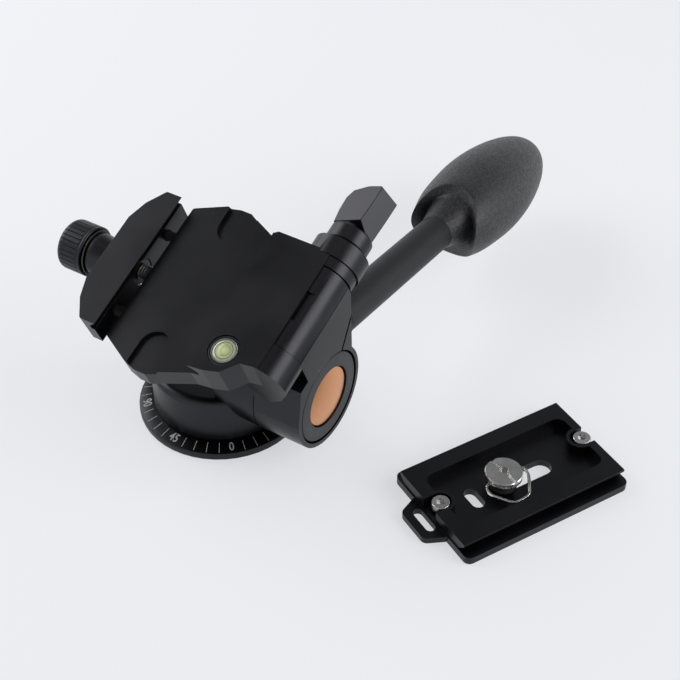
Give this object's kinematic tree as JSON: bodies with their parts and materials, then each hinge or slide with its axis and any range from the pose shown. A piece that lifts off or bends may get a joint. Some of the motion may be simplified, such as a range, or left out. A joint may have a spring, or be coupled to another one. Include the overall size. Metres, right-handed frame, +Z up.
{
  "type": "three-way video head",
  "caption": "Video head that pans, tilts by a split-collar twist handle and leans sideways, with a knob-driven dovetail clamp, a bubble level and its lift-off plate.",
  "frame": {"origin": "middle of the footprint of head and plate together, at the level that both stand on", "axes": "+Z up along the pan axis, +X out through the tilt scale and end cap, +Y towards the handle"},
  "size_m": [0.195, 0.2132, 0.0831],
  "materials": {
    "black_anodised": "black anodised over a fine bead-blasted surface",
    "steel": "bright nickel-plated or turned steel",
    "brass": "plain turned brass",
    "nylon": "natural nylon",
    "rubber": "finely pebbled black rubber",
    "orange_anodised": "orange anodised, brushed in circles",
    "level_vial": "clear vial with yellow-green fluid"
  },
  "bodies": {
    "base": {"pan_scale_base": "black_anodised", "tripod_thread_bush": "steel", "pan_spindle": "steel", "pan_thrust_washer": "nylon", "pan_spring_washer": "steel", "pan_retaining_nut": "steel"},
    "pan": {"pan_housing": "black_anodised", "housing_cap": "black_anodised", "tilt_shaft": "steel", "tilt_shaft_screw": "steel", "tilt_scale_ring": "black_anodised", "tilt_end_cap": "orange_anodised", "pan_lock_pad": "brass"},
    "pan_lock": {"pan_lock_screw": "steel", "pan_lock_knob": "black_anodised"},
    "tilt": {"tilt_arm": "black_anodised", "tilt_friction_sleeve": "nylon", "handle_thread_insert": "brass", "side_tilt_bush_front": "brass", "side_tilt_bush_rear": "brass"},
    "handle": {"handle_stud": "steel", "handle_washer": "black_anodised", "handle_bar": "black_anodised", "handle_grip": "rubber"},
    "platform": {"clamp_platform": "black_anodised", "side_tilt_bolt": "steel", "side_tilt_washer": "black_anodised", "guide_pin_front": "black_anodised", "guide_pin_rear": "black_anodised", "bubble_level_cup": "black_anodised", "bubble_level_vial": "level_vial"},
    "lever": {"side_tilt_lever": "black_anodised"},
    "jaw": {"clamp_jaw": "black_anodised", "clamp_knob_collar": "black_anodised"},
    "clamp_knob": {"clamp_knob": "black_anodised", "clamp_knob_washer": "steel", "clamp_screw": "steel", "clamp_screw_clip": "steel"},
    "plate": {"quick_release_plate": "black_anodised", "camera_pad_front": "rubber", "camera_pad_rear": "rubber", "stop_screw_left": "steel", "stop_screw_right": "steel"},
    "camera_screw": {"camera_screw": "steel", "camera_screw_keeper": "rubber"},
    "ring": {"camera_screw_ring": "steel"}
  },
  "joints": [
    {"name": "pan_turn", "type": "hinge", "parent": "base", "child": "pan", "pos_m": [-0.04349, -0.06511, 0.01], "axis": [0, 0, 1], "continuous": true},
    {"name": "pan_lock_turn", "type": "hinge", "parent": "pan", "child": "pan_lock", "pos_m": [-0.06809, -0.06511, 0.0118], "axis": [-1, 0, 0], "range_deg": [-20, 360]},
    {"name": "tilt_turn", "type": "hinge", "parent": "pan", "child": "tilt", "pos_m": [-0.04349, -0.06511, 0.0254], "axis": [1, 0, 0], "range_deg": [-82, 53]},
    {"name": "handle_twist", "type": "hinge", "parent": "tilt", "child": "handle", "pos_m": [-0.00679, -0.06285, 0.04457], "axis": [0, 0.9932, -0.1167], "range_deg": [-30, 360]},
    {"name": "side_tilt_turn", "type": "hinge", "parent": "tilt", "child": "platform", "pos_m": [-0.00669, -0.07707, 0.05486], "axis": [0, 0.9265, 0.3762], "range_deg": [0, 90]},
    {"name": "side_tilt_lever_turn", "type": "hinge", "parent": "platform", "child": "lever", "pos_m": [-0.00669, -0.07707, 0.05486], "axis": [0, 0.9265, 0.3762], "range_deg": [-30, 270]},
    {"name": "jaw_slide", "type": "slide", "parent": "platform", "child": "jaw", "axis": [1, 0, 0], "range_m": [-0.0014, 0.0046]},
    {"name": "clamp_knob_turn", "type": "hinge", "parent": "jaw", "child": "clamp_knob", "pos_m": [-0.07779, -0.07448, 0.05646], "axis": [1, 0, 0], "range_deg": [-500, 1650]},
    {"name": "plate_lift", "type": "slide", "parent": "base", "child": "plate", "axis": [0, 0, 1], "range_m": [0, 0.15]},
    {"name": "camera_screw_turn", "type": "hinge", "parent": "plate", "child": "camera_screw", "pos_m": [0.06237, -0.0506, 0], "axis": [0, 0, 1], "continuous": true},
    {"name": "ring_fold", "type": "hinge", "parent": "camera_screw", "child": "ring", "pos_m": [0.06237, -0.0506, 0.0073], "axis": [0.3923, 0.9198, 0], "range_deg": [-150, 2]}
  ],
  "couplings": [
    {"joint": "jaw_slide", "follows": "clamp_knob_turn", "m_per_rad": 0.00015915}
  ]
}
